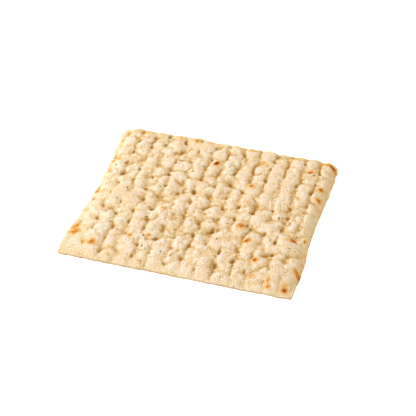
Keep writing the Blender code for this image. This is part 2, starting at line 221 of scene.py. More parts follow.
@dataclass(frozen=True)
class Cut:
    """The outline the dough was cut to, and how the crumb rises behind it."""

    length: float = 0.1672
    width: float = 0.1464
    left_slope: tuple[float, float] = (0.0095, 0.0048)       # at the near end and at the far one
    right_slope: tuple[float, float] = (0.0062, 0.0036)
    near_slope: float = 0.0085
    far_slope: float = 0.0022
    corner_reach: float = 0.0140
    near_corner_power: float = 18.0
    far_corner_power: float = 4.0
    bow_reach: float = 0.0180
    bow_fade: float = 1.5
    left_bow: Bend = Bend(0.0031, 0.0050, 0.0400, 3.0)
    left_bulge: Bend = Bend(0.0011, -0.0560, 0.0090)
    right_draw: float = 0.0011
    right_bow: Bend = Bend(0.0021, -0.0030, 0.0300)
    right_notch: Bend = Bend(0.0013, -0.0700, 0.0130, 6.0)
    far_bulge: Bend = Bend(0.0012, -0.0280, 0.0130)
    wobble: float = 0.0009
    calm_share: float = 0.50                                 # of the wobble, near and right
    wobble_cell: float = 0.0055
    wobble_seed: int = 21

    def side_weight(self, distance: Array) -> Array:
        """How much a point moves with a side that lies this far from it."""
        return np.clip(1.0 - distance / self.bow_reach, 0.0, 1.0) ** self.bow_fade

    def rise(self, u: Array, v: Array) -> Array:
        """The share of the crumb's height at a point of the plain rectangle, 0 on its sides."""
        share = v / self.width + 0.5
        left_slope = self.left_slope[0] + share * (self.left_slope[1] - self.left_slope[0])
        right_slope = self.right_slope[0] + share * (self.right_slope[1] - self.right_slope[0])
        left = 1.0 - np.exp(-(self.length / 2 + u) / left_slope)
        right = 1.0 - np.exp(-(self.length / 2 - u) / right_slope)
        near = 1.0 - np.exp(-(self.width / 2 + v) / self.near_slope)
        far = 1.0 - np.exp(-(self.width / 2 - v) / self.far_slope)
        return left * right * near * far

    def lay_out(self, u: Array, v: Array) -> tuple[Array, Array, Array]:
        """Move points of a plain rectangle onto the cut outline.

        Args:
            u: The points along the rectangle's length.
            v: The points along its width.

        Returns:
            x, y and the share of the crumb's height: 0 on the cut, 1 well inside.
        """
        a = np.clip((np.abs(u) - self.length / 2 + self.corner_reach) / self.corner_reach, 0.0, 1.0)
        b = np.clip((np.abs(v) - self.width / 2 + self.corner_reach) / self.corner_reach, 0.0, 1.0)
        power = np.where(v < 0.0, self.near_corner_power, self.far_corner_power)
        rounded = np.maximum((a ** power + b ** power) ** (1.0 / power), TINY)
        pull = (1.0 - np.minimum(np.maximum(a, b) / rounded, 1.0)) * self.corner_reach
        x = u - np.sign(u) * a * pull
        y = v - np.sign(v) * b * pull

        left = self.side_weight(x + self.length / 2)
        right = self.side_weight(self.length / 2 - x)
        near = self.side_weight(y + self.width / 2)
        far = self.side_weight(self.width / 2 - y)
        left_shift = self.left_bow.at(y) - self.left_bulge.at(y)
        right_shift = -self.right_draw - self.right_bow.at(y) - self.right_notch.at(y)
        far_shift = self.far_bulge.at(x)
        wobble_x = self.wobble * noise(x, y, self.wobble_cell, self.wobble_seed)
        wobble_y = self.wobble * noise(x, y, self.wobble_cell, self.wobble_seed + 1)
        x = x + left * left_shift + right * right_shift + (left + self.calm_share * right) * wobble_x
        y = y + far * far_shift + (self.calm_share * near + far) * wobble_y
        return x, y, np.clip(self.rise(u, v), 0.0, 1.0)


@dataclass(frozen=True)
class Docker:
    """The docker roller: staggered columns of pins, and the creases they leave between them."""

    column_step: float = 0.0115
    pin_step: float = 0.0127
    columns: int = 17
    pins_each_way: int = 7
    first_column_x: float = -0.08985
    pin_row_y: float = 0.0043
    jitter: float = 0.0008
    pin_depth: tuple[float, float] = (0.0002, 0.0032)
    pin_reach_x: float = 0.0007
    pin_reach_y: float = 0.0011
    pin_rounding: float = 0.50
    pin_easing: float = 0.80
    groove_depth: tuple[float, float] = (0.0, 0.0009)
    groove_reach: float = 0.0011
    groove_rounding: float = 0.0005
    groove_easing: float = 0.40
    blend_power: float = 3.0
    lumpy_span: tuple[float, float] = (-0.0700, 0.0360)
    lumpy_lean: float = 0.45
    lumpy_reach: float = 0.0140
    pin_seed: int = 12
    depth_seed: int = 27

    def pins(self) -> Array:
        """The pins' places, as columns x pins x (x, y), each a little out of line."""
        column, pin = np.meshgrid(
            np.arange(self.columns), np.arange(-self.pins_each_way, self.pins_each_way + 1),
            indexing="ij",
        )
        stray = np.random.default_rng(self.pin_seed).normal(0.0, self.jitter, column.shape + (2,))
        x = self.first_column_x + self.column_step * column
        y = self.pin_row_y + self.pin_step * (pin + 0.5 * (column % 2))
        return np.stack([x, y], axis=-1) + stray

    def prick(self, x: Array, y: Array, place: Array, depth: float) -> Array:
        """The dip round one pin, longer across the bread than along it."""
        squared = ((x - place[0]) / self.pin_reach_x) ** 2 + ((y - place[1]) / self.pin_reach_y) ** 2
        return depth * np.exp(self.pin_rounding - np.sqrt(squared + self.pin_rounding ** 2))

    def groove(self, x: Array, y: Array, start: Array, end: Array, depth: float) -> Array:
        """The groove where the skin is drawn down between two pins.

        Args:
            x: Places along X.
            y: Places along Y.
            start: One pin's place.
            end: The other pin's place.
            depth: The groove's depth on its own line.

        Returns:
            How deep the groove is at each place.
        """
        along = end - start
        t = ((x - start[0]) * along[0] + (y - start[1]) * along[1]) / float(along @ along)
        t = np.clip(t, 0.0, 1.0)
        squared = (x - start[0] - t * along[0]) ** 2 + (y - start[1] - t * along[1]) ** 2
        rounded = self.groove_rounding - np.sqrt(squared + self.groove_rounding ** 2)
        return depth * np.exp(rounded / self.groove_reach)

    def lumps(self) -> Array:
        """Where the dough puffs up: in every triangle of pins, and on a ridge's own line."""
        pins = self.pins()
        rows = pins.shape[1]
        middles = []
        for column in range(self.columns - 1):
            odd = column % 2
            ridge_x = self.first_column_x + self.column_step * (column + 0.5)
            for row in range(rows - 1):
                # Each cell of the pattern is two triangles, one on a base in either column.
                for base, tip, tip_row in ((0, 1, row + odd), (1, 0, row + 1 - odd)):
                    corners = (*pins[column + base, row:row + 2], pins[column + tip, tip_row])
                    x, y = np.mean(corners, axis=0)
                    middles.append((ridge_x + (x - ridge_x) * self.lumpiness(x, y), y))
        return np.array(middles)

    def lumpiness(self, x: Array | float, y: Array | float) -> Array | float:
        """How much the crumb closes into lumps here, from 0, where it runs into ridges."""
        near, far = self.lumpy_span
        outside = np.maximum(y + self.lumpy_lean * x - far, near - y)
        return 1.0 / (1.0 + np.exp(outside / self.lumpy_reach))

    def depth(self, x: Array, y: Array) -> Array:
        """How far the pricks and the grooves between them draw the surface down.

        Args:
            x: Places along X.
            y: Places along Y.

        Returns:
            The depth at each place.
        """
        rng = np.random.default_rng(self.depth_seed)
        pins = self.pins()
        rows = pins.shape[1]
        total = np.zeros_like(x)
        for column in range(self.columns):
            for row in range(rows):
                here = pins[column, row]
                lumpy = self.lumpiness(*here)
                depth = rng.uniform(*self.pin_depth) * (self.pin_easing + (1.0 - self.pin_easing) * lumpy)
                total += self.prick(x, y, here, depth) ** self.blend_power
                if row + 1 < rows:
                    depth = rng.uniform(*self.groove_depth) * (1.0 - self.groove_easing * lumpy)
                    total += self.groove(x, y, here, pins[column, row + 1], depth) ** self.blend_power
        return total ** (1.0 / self.blend_power)


@dataclass(frozen=True)
class Blister:
    """A gas blister, or a patch that stayed flat, with the share of the grooves that it fills."""

    x: float
    y: float
    half_x: float
    half_y: float
    rise: float
    fill: float
    bluntness: float = 1.5

    def cover(self, x: Array, y: Array) -> Array:
        """How fully the blister covers each place."""
        distance = ((x - self.x) / self.half_x) ** 2 + ((y - self.y) / self.half_y) ** 2
        return np.exp(-distance ** self.bluntness)


@dataclass(frozen=True)
class Dough:
    """The dough: how high it puffs between the pins, and its own unevenness."""

    rim_thickness: float = 0.0011
    pillow_height: float = 0.0058
    thinnest: float = 0.0014
    relief_fade: float = 0.35
    warp_layers: tuple[tuple[float, float], ...] = ((0.0014, 0.0100), (0.0003, 0.0045))
    swell_layers: tuple[tuple[float, float], ...] = (
        (0.0002, 0.0180), (0.0002, 0.0080), (0.00008, 0.0040))
    lump_reach: float = 0.0075
    lump_drop: float = 0.0018
    lump_power: float = 2.0
    lump_stretch: float = 1.25
    lump_stray: float = 0.0014
    lump_spread: float = 0.00045
    lump_blend: float = 20000.0
    lump_seed: int = 41
    puff_layers: tuple[tuple[float, float], ...] = ((0.0013, 0.0058), (0.0004, 0.0026))
    puff_calm: float = 0.80
    puff_jitter: float = 0.38
    puff_spread: float = 0.22
    puff_crease: float = 20.0
    puff_mean: float = 0.05
    warp_seed: int = 3
    swell_seed: int = 11
    puff_seed: int = 31
    blisters: tuple[Blister, ...] = from_mm(Blister, 5, (        # x, y, half x, half y, rise, fill
        (-60.0, -8.0, 11.0, 11.0, 1.1, 0.80), (-49.5, 28.5, 5.0, 8.0, 0.6, 0.55),
        (-36.5, 36.0, 4.0, 7.0, 0.6, 0.55), (-51.0, 11.5, 4.5, 5.0, 0.7, 0.55),
        (-27.5, 9.5, 3.5, 9.0, 0.8, 0.60), (-48.5, -20.0, 4.5, 6.0, 0.5, 0.55),
        (-8.0, 16.5, 4.0, 5.0, 0.9, 0.60), (-16.5, -7.5, 4.5, 6.5, 0.7, 0.55),
        (-39.5, -22.5, 4.0, 5.0, 0.7, 0.55), (-26.0, -32.5, 4.0, 5.0, 0.7, 0.55),
        (-5.0, -6.5, 4.5, 6.0, 0.6, 0.55), (6.0, 15.5, 4.0, 8.5, 0.8, 0.55),
        (19.5, 6.5, 3.5, 11.0, 0.7, 0.55), (30.0, 21.5, 5.0, 7.0, 0.9, 0.55),
        (29.5, 9.0, 4.5, 5.0, 0.7, 0.55), (41.5, 15.0, 5.0, 6.0, 0.6, 0.55),
        (42.5, -6.5, 5.5, 7.0, 0.8, 0.55), (31.5, -23.0, 5.0, 6.5, 0.9, 0.55),
        (42.0, -37.0, 5.5, 8.0, 0.9, 0.60), (21.0, -36.0, 6.5, 8.0, 0.9, 0.60),
        (42.0, 32.5, 5.5, 9.0, 0.6, 0.55), (52.0, 31.5, 5.0, 9.0, 0.6, 0.50),
        (53.5, -13.0, 4.5, 6.0, 0.6, 0.55), (67.0, -29.5, 7.0, 8.0, 0.8, 0.55),
        (-65.5, -53.5, 5.5, 7.0, 0.7, 0.50), (-51.0, -51.0, 4.5, 6.0, 0.7, 0.55),
        (-38.5, -49.5, 4.0, 8.0, 0.6, 0.55), (16.0, -57.5, 5.5, 8.0, 0.7, 0.55),
        (-19.0, 60.0, 8.5, 6.5, 0.5, 0.85), (69.0, -56.0, 8.5, 8.0, 0.6, 0.60),
        (-3.0, 41.5, 5.0, 6.0, 1.0, 0.30), (-76.0, -66.0, 8.5, 9.0, -2.2, 0.95),
        (82.0, -54.0, 3.0, 5.0, 1.4, 0.50),
    ))

    def puffs(self, x: Array, y: Array, cell: float, seed: int) -> Array:
        """Rounded domes one cell wide that meet in soft creases.

        Args:
            x: Places along X.
            y: Places along Y.
            cell: The domes' width.
            seed: Which layer of domes it is.

        Returns:
            Their height at each place, about -0.6 to 0.3.
        """
        rng = np.random.default_rng(seed)
        strays = rng.uniform(-self.puff_jitter, self.puff_jitter, (NOISE_TABLE, NOISE_TABLE, 2))
        heights = rng.uniform(-self.puff_spread, self.puff_spread, (NOISE_TABLE, NOISE_TABLE))
        u, v = turned_cells(x, y, cell, seed)
        total = np.zeros_like(u)
        for step_i in (-1, 0, 1):
            for step_j in (-1, 0, 1):
                i = np.floor(u).astype(int) + step_i
                j = np.floor(v).astype(int) + step_j
                entry = (i % NOISE_TABLE, j % NOISE_TABLE)
                stray = strays[entry]
                squared = (u - i - 0.5 - stray[..., 0]) ** 2 + (v - j - 0.5 - stray[..., 1]) ** 2
                total += np.exp(self.puff_crease * (heights[entry] - squared))
        return np.log(total) / self.puff_crease

    def lumps(self, x: Array, y: Array, docker: Docker) -> Array:
        """The lumps that puff up between the pins, longer along Y where they run into ridges.

        Args:
            x: Places along X.
            y: Places along Y.
            docker: The roller that pricked the dough.

        Returns:
            Their height at each place: about 0 on their tops, and below it in the creases.
        """
        rng = np.random.default_rng(self.lump_seed)
        total = np.zeros_like(x)
        for middle in docker.lumps():
            stray = rng.normal(0.0, self.lump_stray, 2)
            height = rng.normal(0.0, self.lump_spread)
            stretch = self.lump_stretch + (1.0 - self.lump_stretch) * docker.lumpiness(*middle)
            squared = (x - middle[0] - stray[0]) ** 2 + ((y - middle[1] - stray[1]) / stretch) ** 2
            drop = self.lump_drop * (squared / self.lump_reach ** 2) ** (self.lump_power / 2)
            total += np.exp(self.lump_blend * (height - drop))
        return np.log(total + TINY) / self.lump_blend

    def crumb(self, x: Array, y: Array, rise: Array, docker: Docker) -> tuple[Array, Array]:
        """The crumb inside the rim.

        Args:
            x: Places along X.
            y: Places along Y.
            rise: The share of the crumb's full height there.
            docker: The roller that pricked the dough.

        Returns:
            The surface's height, and how deep the crumb was docked.
        """
        warped_x = np.array(x)
        warped_y = np.array(y)
        for layer, (amount, cell) in enumerate(self.warp_layers):
            warped_x += amount * noise(x, y, cell, self.warp_seed + 2 * layer)
            warped_y += amount * noise(x, y, cell, self.warp_seed + 2 * layer + 1)
        height = np.full_like(x, self.pillow_height)
        for layer, (amount, cell) in enumerate(self.swell_layers):
            height += amount * noise(x, y, cell, self.swell_seed + layer)
        docking = docker.depth(warped_x, warped_y) - self.lumps(warped_x, warped_y, docker)
        loose = self.puff_calm + (1.0 - self.puff_calm) * docker.lumpiness(x, y)
        for layer, (amount, cell) in enumerate(self.puff_layers):
            puffed = self.puffs(warped_x, warped_y, cell, self.puff_seed + layer)
            docking -= amount * loose * (puffed + self.puff_mean)
        for blister in self.blisters:
            cover = blister.cover(x, y)
            height += blister.rise * cover
            docking *= 1.0 - blister.fill * cover
        relief = rise ** self.relief_fade
        floor = relief * (self.thinnest - self.rim_thickness)
        return self.rim_thickness + np.maximum(rise * height - relief * docking, floor), docking


@dataclass(frozen=True)
class ToastSpot:
    """A toasted spot: an ellipse of browned crust, turned by an angle in degrees."""

    x: float
    y: float
    half_long: float
    half_short: float
    strength: float
    angle: float = 0.0
    spread: float = 1.5
    bluntness: float = 1.4

    def heat(self, x: Array, y: Array) -> Array:
        """How strongly the spot browned each place."""
        turn = math.radians(self.angle)
        along = (x - self.x) * math.cos(turn) + (y - self.y) * math.sin(turn)
        across = (y - self.y) * math.cos(turn) - (x - self.x) * math.sin(turn)
        distance = np.sqrt((along / self.half_long) ** 2 + (across / self.half_short) ** 2)
        return self.strength * np.exp(-(distance / self.spread) ** self.bluntness)


@dataclass(frozen=True)
class Oven:
    """What the oven browned: the crests that show in the photo, and the pillows' own tops."""

    spots: tuple[ToastSpot, ...] = from_mm(ToastSpot, 4, (       # x, y, half long, half short, strength
        (-3.6, 42.8, 0.9, 0.9, 1.35), (-2.6, 45.2, 1.1, 0.8, 0.80, 70.0), (-1.6, 43.5, 1.8, 1.8, 0.42),
        (64.4, 53.0, 1.1, 1.1, 1.10), (65.8, 54.8, 1.4, 1.6, 0.35), (29.0, 55.0, 1.4, 1.2, 0.60),
        (76.3, 37.1, 1.4, 1.3, 0.82, 35.0), (74.5, 36.4, 1.8, 1.0, 0.32, 35.0),
        (77.4, 25.2, 1.3, 1.3, 0.85), (75.7, 26.4, 1.5, 1.1, 0.32, 30.0), (77.7, 16.4, 1.4, 1.4, 0.30),
        (64.5, 11.0, 1.8, 1.0, 0.30), (27.5, 26.2, 1.6, 1.8, 0.68), (32.8, -18.6, 2.4, 1.9, 0.62),
        (39.2, -31.8, 1.8, 1.4, 1.10, 35.0), (70.7, -22.6, 1.4, 1.4, 0.90),
        (68.3, -22.6, 2.6, 1.4, 0.38, 16.0), (77.5, -18.9, 1.0, 1.5, 0.68), (49.4, -48.0, 1.2, 1.2, 0.98),
        (51.2, -46.8, 2.2, 1.4, 0.30), (50.5, -63.2, 1.2, 1.4, 0.40), (52.3, -61.4, 2.0, 0.8, 0.48, 16.0),
        (62.0, -50.4, 1.2, 1.0, 0.35), (62.7, -63.5, 1.0, 1.6, 0.65), (65.4, -60.5, 1.6, 1.4, 0.30),
        (63.9, -68.2, 1.4, 1.2, 0.75), (75.2, -68.1, 1.0, 0.9, 0.85), (75.2, -68.1, 2.4, 1.8, 0.35),
        (74.3, -64.0, 1.4, 2.4, 0.40), (79.0, -49.8, 2.4, 1.5, 0.60, -40.0),
        (82.0, -53.6, 2.4, 1.3, 0.72, -56.0), (-26.5, -44.5, 1.4, 1.1, 0.72),
        (-62.5, -59.5, 1.6, 1.6, 0.78), (-64.5, -61.2, 1.8, 1.4, 0.32), (-69.7, -59.8, 1.8, 1.4, 0.42),
        (-79.3, -43.7, 1.5, 1.3, 0.82), (-81.5, -46.5, 2.2, 1.2, 0.55), (-77.5, -50.3, 2.4, 1.6, 0.70),
        (-81.0, -51.8, 2.4, 1.4, 0.50), (-39.5, -48.0, 1.3, 1.3, 0.75), (-77.8, -6.0, 1.2, 1.1, 1.15),
        (-79.0, 54.4, 1.4, 1.2, 0.68), (-68.5, 58.4, 1.5, 1.3, 0.62), (-74.6, 32.7, 1.5, 1.4, 0.68),
        (-76.8, 16.6, 1.2, 1.2, 0.85), (-78.3, 21.6, 0.9, 1.0, 0.78), (-79.0, 31.1, 0.9, 1.0, 0.78),
        (-49.5, -61.0, 1.8, 1.3, 0.40), (-25.0, 66.0, 2.2, 2.0, 0.70, 40.0), (-37.5, 67.0, 1.5, 1.3, 0.61),
        (-51.9, 67.2, 2.6, 1.2, 0.42), (-12.4, 66.0, 3.0, 1.2, 0.38), (-63.8, 67.2, 3.0, 1.4, 0.57),
        (-75.3, 64.2, 3.2, 1.6, 0.46, 20.0), (-4.5, 65.5, 1.4, 1.2, 0.38), (8.5, 66.2, 2.6, 1.1, 0.38),
        (19.0, 66.0, 2.8, 1.2, 0.61), (51.5, 66.0, 2.8, 1.4, 0.65), (71.5, 66.0, 2.8, 1.2, 0.59),
        (77.4, 65.2, 2.9, 1.2, 0.62, -20.0), (79.6, 64.4, 1.6, 1.0, 0.90, -50.0),
    ))
    faint_spots: int = 34
    faint_strength: tuple[float, float] = (0.10, 0.36)
    faint_radius: tuple[float, float] = (0.0010, 0.0022)
    faint_stretch: float = 1.6
    faint_reach: float = 0.47
    faint_in_hollows: float = 0.3
    faint_seed: int = 73
    crest_height: float = 0.0066
    crest_range: float = 0.0014
    crest_strength: float = 0.22
    crest_patches: float = 0.6
    patch_cell: float = 0.0110
    patch_seed: int = 91

    def heat(self, x: Array, y: Array, z: Array, cut: Cut) -> Array:
        """How browned the crust is at each place, from 0, pale, to above 1, charred.

        Args:
            x: Places along X.
            y: Places along Y.
            z: The surface's height there.
            cut: The outline, inside which the faint spots fall.

        Returns:
            The browning at each place.
        """
        crest = np.clip((z - self.crest_height) / self.crest_range, 0.0, 1.0)
        patches = self.crest_patches * noise(x, y, self.patch_cell, self.patch_seed)
        total = self.crest_strength * crest * (1.0 + patches)
        for spot in self.spots:
            total = total + spot.heat(x, y)
        rng = np.random.default_rng(self.faint_seed)
        for _ in range(self.faint_spots):
            place = rng.uniform(-self.faint_reach, self.faint_reach, 2) * (cut.length, cut.width)
            radius = rng.uniform(*self.faint_radius)
            spot = ToastSpot(*place, radius * rng.uniform(1.0, self.faint_stretch), radius,
                             rng.uniform(*self.faint_strength), rng.uniform(0.0, 180.0))
            total = total + spot.heat(x, y) * np.clip(self.faint_in_hollows + crest, 0.0, 1.0)
        return total


@dataclass(frozen=True)
class Fleck:
    """Flecks scattered in the skin: cells of one size, some of which hold a round fleck."""

    cell_mm: float
    colour: str
    reach: float
    empty_share: float
    strength: float
    sharpness: float = 16.0

    def lay(self, tree: bpy.types.NodeTree, place: Socket, colour: bpy.types.Node | Socket) -> Socket:
        """Lay the flecks over a colour.

        Args:
            tree: The material's node tree.
            place: The coordinates on the piece.
            colour: What the flecks lie on.

        Returns:
            The colour with its flecks.
        """
        cells = add_node(tree, "TexVoronoi", {"Vector": place, "Scale": per_metre(self.cell_mm)})
        pick = add_node(tree, "SeparateColor", {"Color": cells.outputs["Color"]})
        chosen = add_node(tree, "Math", {
            "operation": "GREATER_THAN", 0: pick.outputs["Red"], 1: self.empty_share})
        size = add_node(tree, "Math", {"operation": "MULTIPLY", 0: pick.outputs["Green"], 1: self.reach})
        near = add_node(tree, "Math", {"operation": "SUBTRACT", 0: size, 1: cells.outputs["Distance"]})
        inside = add_node(tree, "Math", {
            "operation": "MULTIPLY", "use_clamp": True, 0: near, 1: self.sharpness})
        spot = add_node(tree, "Math", {"operation": "MULTIPLY", 0: inside, 1: chosen})
        share = add_node(tree, "Math", {"operation": "MULTIPLY", 0: spot, 1: self.strength})
        flecked = {"data_type": "RGBA", 0: share, 6: colour, 7: linear(self.colour)}
        return add_node(tree, "Mix", flecked).outputs[2]


@dataclass(frozen=True)
class CrustFinish:
    """Soft-baked wheat crust: matte, pale and porous, golden in its hollows, browned on its crests.

    The eye sees cream skin with a fine crumbly grain, warmer in the docked hollows, and toasted
    spots that run from honey through brown to a nearly black middle. The warmth in the hollows is
    partly the crust's own colour and partly painted shade; the palest skin, on the crests, is a
    painted highlight, and the browning at the foot of the cut side carries painted contact shadow.
    """

    # From a painted highlight on crests, through cream, to the golden tint of lows, which is partly painted
    # shade.
    skin: tuple[tuple[float, str], ...] = ((0.0, "ebe1da"), (0.30, "e7d1ad"), (1.0, "bc9048"))
    toast: tuple[tuple[float, str], ...] = (
        (0.05, "e7d1ad"), (0.28, "e4b25e"), (0.50, "d68f32"), (0.78, "a5551e"), (1.00, "451a08"))
    # Browning of the underside; on the cut side and along the near edge it also stands for painted contact
    # shadow.
    sole: str = "7a5424"
    flecks: tuple[Fleck, ...] = (
        Fleck(3.4, "a87c46", 0.17, 0.45, 0.50),      # browned flour
        Fleck(2.3, "75674a", 0.17, 0.55, 0.85),      # grey-green herb dust
        Fleck(2.7, "8a6c3a", 0.22, 0.35, 0.80),      # small dark specks, as of pinholes
    )
    noises: tuple[tuple[float, float], ...] = (      # width in mm and detail
        (11.0, 2.0),                                 # broad swells
        (2.6, 3.0),                                  # grain
        (0.9, 3.0),                                  # pores
    )
    skin_swings: tuple[float, float, float] = (0.25, 0.42, 1.00)
    skin_level: float = 0.20
    toast_swings: tuple[float, float] = (1.0, 1.2)
    toast_gain: float = 0.8
    toast_start: float = 0.05
    toast_cover: float = 2.2
    relief_grain: float = 0.5
    relief_depth: float = 0.0013
    roughness: float = 0.56
    rough_grain: float = 0.2

    @staticmethod
    def sway(tree: bpy.types.NodeTree, value: Socket | float, noises: list[bpy.types.Node],
             swings: tuple[float, ...]) -> bpy.types.Node:
        """Make a value uneven.

        Args:
            tree: The material's node tree.
            value: The even value.
            noises: What it sways with.
            swings: How far it sways with each noise.

        Returns:
            The uneven value.
        """
        for noise_node, swing in zip(noises, swings):
            centred = add_node(tree, "Math", {"operation": "SUBTRACT", 0: noise_node, 1: 0.5})
            value = add_node(tree, "Math", {"operation": "MULTIPLY_ADD", 0: centred, 1: swing, 2: value})
        return value

    def make(self) -> bpy.types.Material:
        """Build the crust's material."""
        material, tree = start_material("soft_baked_crust")
        place = add_node(tree, "TexCoord").outputs["Object"]
        toast, hollow, sole = (add_node(tree, "Attribute", {"attribute_name": name}).outputs["Fac"]
                               for name in ("toast", "hollow", "sole"))
        noises = [add_node(tree, "TexNoise", {"Vector": place, "Scale": per_metre(width), "Detail": detail})
                  for width, detail in self.noises]
        grain, pores = noises[1:]

        # Skin: paler on the crests, a painted highlight, and golden in the hollows, partly the crust's own
        # colour and partly painted shade, with painted shade in the creases and on the rim's slopes, darker
        # towards the far side; then flecked.
        depth = self.sway(tree, hollow, noises, self.skin_swings)
        tint = add_node(tree, "Math", {"operation": "ADD", "use_clamp": True, 0: depth, 1: self.skin_level})
        colour = add_node(tree, "ValToRGB", {"Fac": tint, "stops": self.skin})
        for fleck in self.flecks:
            colour = fleck.lay(tree, place, colour)

        # Toast: its edge is ragged at the scale of the grain and the pores.
        torn = self.sway(tree, 1.0, [grain, pores], self.toast_swings)
        heat = add_node(tree, "Math", {"operation": "MULTIPLY", 0: torn, 1: toast})
        shade = add_node(tree, "Math", {
            "operation": "MULTIPLY", "use_clamp": True, 0: heat, 1: self.toast_gain})
        browned = add_node(tree, "ValToRGB", {"Fac": shade, "stops": self.toast})
        reached = add_node(tree, "Math", {"operation": "SUBTRACT", 0: heat, 1: self.toast_start})
        cover = add_node(tree, "Math", {
            "operation": "MULTIPLY", "use_clamp": True, 0: reached, 1: self.toast_cover})
        toasted = add_node(tree, "Mix", {"data_type": "RGBA", 0: cover, 6: colour, 7: browned})
        crust = add_node(tree, "Mix", {
            "data_type": "RGBA", 0: sole, 6: toasted.outputs[2], 7: linear(self.sole)})

        # Relief and roughness follow the same grain and pores.
        relief = add_node(tree, "Math", {
            "operation": "MULTIPLY_ADD", 0: grain, 1: self.relief_grain, 2: pores})
        rough = add_node(tree, "Math", {
            "operation": "MULTIPLY_ADD", 0: grain, 1: self.rough_grain, 2: self.roughness})
        set_up(tree.nodes["Principled BSDF"], {
            "Base Color": crust.outputs[2],
            "Roughness": rough,
            "Normal": add_node(tree, "Bump", {
                "Height": relief, "Strength": 1.0, "Distance": self.relief_depth}),
            "Specular IOR Level": 0.25,
            "Subsurface Weight": 0.18,
            "Subsurface Radius": (1.0, 0.7, 0.35),
            "Subsurface Scale": 0.0015,
        })
        return material


@dataclass(frozen=True)
class HerbFinish:
    """Dried herbs and cracked pepper: dull olive to brown, mottled, with no shine to them."""

    name: str
    light: str
    dark: str
    lightest: float                  # the highest tone that a scrap is given
    roughness: float = 0.85
    mottle_mm: float = 1.1
    mottle_share: float = 0.5
    dark_end: float = 0.2
    vein_depth: float = 0.0001

    def make(self) -> bpy.types.Material:
        """Build the herb's material."""
        material, tree = start_material(self.name)
        place = add_node(tree, "TexCoord").outputs["Object"]
        tone = add_node(tree, "Attribute", {"attribute_name": "tone"}).outputs["Fac"]
        mottle = add_node(tree, "TexNoise", {
            "Vector": place, "Scale": per_metre(self.mottle_mm), "Detail": 3.0})
        blend = add_node(tree, "Math", {
            "operation": "MULTIPLY_ADD", "use_clamp": True, 0: mottle, 1: self.mottle_share, 2: tone})
        set_up(tree.nodes["Principled BSDF"], {
            "Base Color": add_node(tree, "ValToRGB", {
                "Fac": blend, "stops": ((self.dark_end, self.dark), (1.0, self.light))}),
            "Normal": add_node(tree, "Bump", {
                "Height": mottle, "Strength": 0.5, "Distance": self.vein_depth}),
            "Roughness": self.roughness,
            "Specular IOR Level": 0.2,
        })
        return material


@dataclass(frozen=True)
class PaperFinish:
    """White seamless paper: matte and so evenly lit that it shows as pure white.

    Its back lets the view through, so that the bread's underside shows from below.
    """

    colour: str = "f4f4f4"
    glow: float = 0.55
    roughness: float = 0.95
    fibre_mm: float = 1.5
    fibre_depth: float = 0.0001

    def make(self) -> bpy.types.Material:
        """Build the paper's material."""
        material, tree = start_material("seamless_paper")
        place = add_node(tree, "TexCoord").outputs["Object"]
        fibre = add_node(tree, "TexNoise", {
            "Vector": place, "Scale": per_metre(self.fibre_mm), "Detail": 2.0})
        front = set_up(tree.nodes["Principled BSDF"], {
            "Base Color": linear(self.colour),
            "Normal": add_node(tree, "Bump", {
                "Height": fibre, "Strength": 0.1, "Distance": self.fibre_depth}),
            "Roughness": self.roughness,
            "Emission Color": (1.0, 1.0, 1.0, 1.0),
            "Emission Strength": self.glow,
        })
        from_behind = add_node(tree, "NewGeometry").outputs["Backfacing"]
        clear = add_node(tree, "BsdfTransparent")
        sheet = add_node(tree, "MixShader", {0: from_behind, 1: front, 2: clear})
        set_up(tree.nodes["Material Output"], {"Surface": sheet})
        return material


def only(piece: bpy.types.Object) -> None:
    """Select this object alone and make it the active one."""
    bpy.ops.object.select_all(action="DESELECT")
    piece.select_set(True)
    bpy.context.view_layer.objects.active = piece


def add_shape(add: Callable[..., set[str]], **settings: object) -> bpy.types.Object:
    """Add a primitive with nothing else selected.

    Args:
        add: The operator that adds it.
        **settings: The operator's settings.

    Returns:
        The new object.
    """
    bpy.ops.object.select_all(action="DESELECT")
    add(**settings)
    return bpy.context.object


def paint(mesh: bpy.types.Mesh, name: str, values: Array) -> None:
    """Store a number at every point of a mesh.

    Args:
        mesh: The mesh.
        name: The attribute's name, which its material reads.
        values: One number for each point.
    """
    layer = mesh.attributes.new(name, "FLOAT", "POINT")
    layer.data.foreach_set("value", np.asarray(values, dtype=np.float32).ravel())


